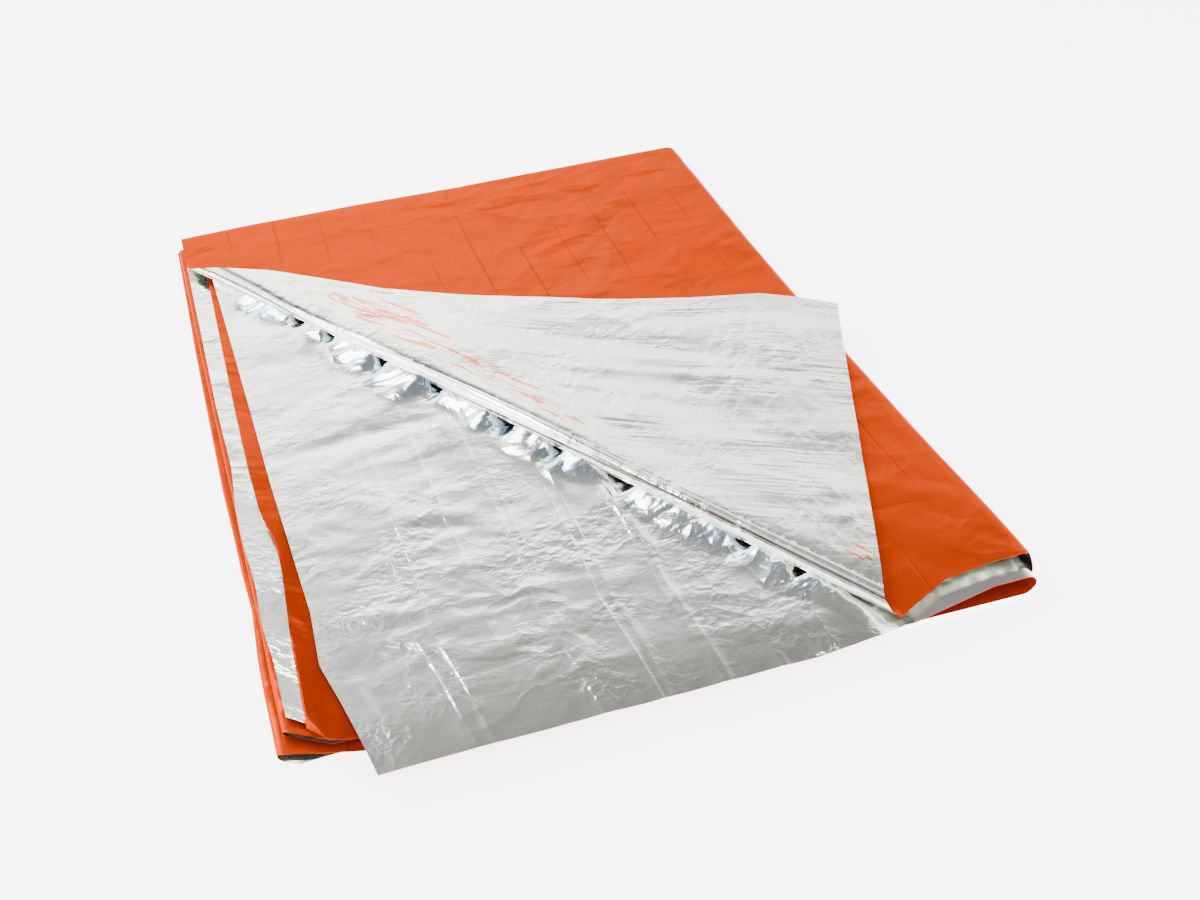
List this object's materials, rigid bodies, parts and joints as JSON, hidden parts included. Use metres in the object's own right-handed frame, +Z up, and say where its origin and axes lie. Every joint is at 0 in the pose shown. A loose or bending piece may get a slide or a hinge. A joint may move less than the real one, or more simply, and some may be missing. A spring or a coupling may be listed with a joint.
{
  "type": "emergency foil blanket",
  "caption": "Emergency foil blanket, orange on one face and silver on the other, folded into a flat pack with a corner of its top layer turned back",
  "frame": {"origin": "the middle of the underside of the folded pack, on the surface it lies on", "axes": "+X to the right, towards the pack's last folded side; +Y away, towards its long far fold, along the pack's longer side; +Z up through the layers"},
  "size_m": [0.5547, 0.7482, 0.0389],
  "materials": {
    "film": "semi-gloss orange film, bright silver metal on its other face"
  },
  "bodies": {
    "root": {"blanket": "film"}
  },
  "joints": []
}
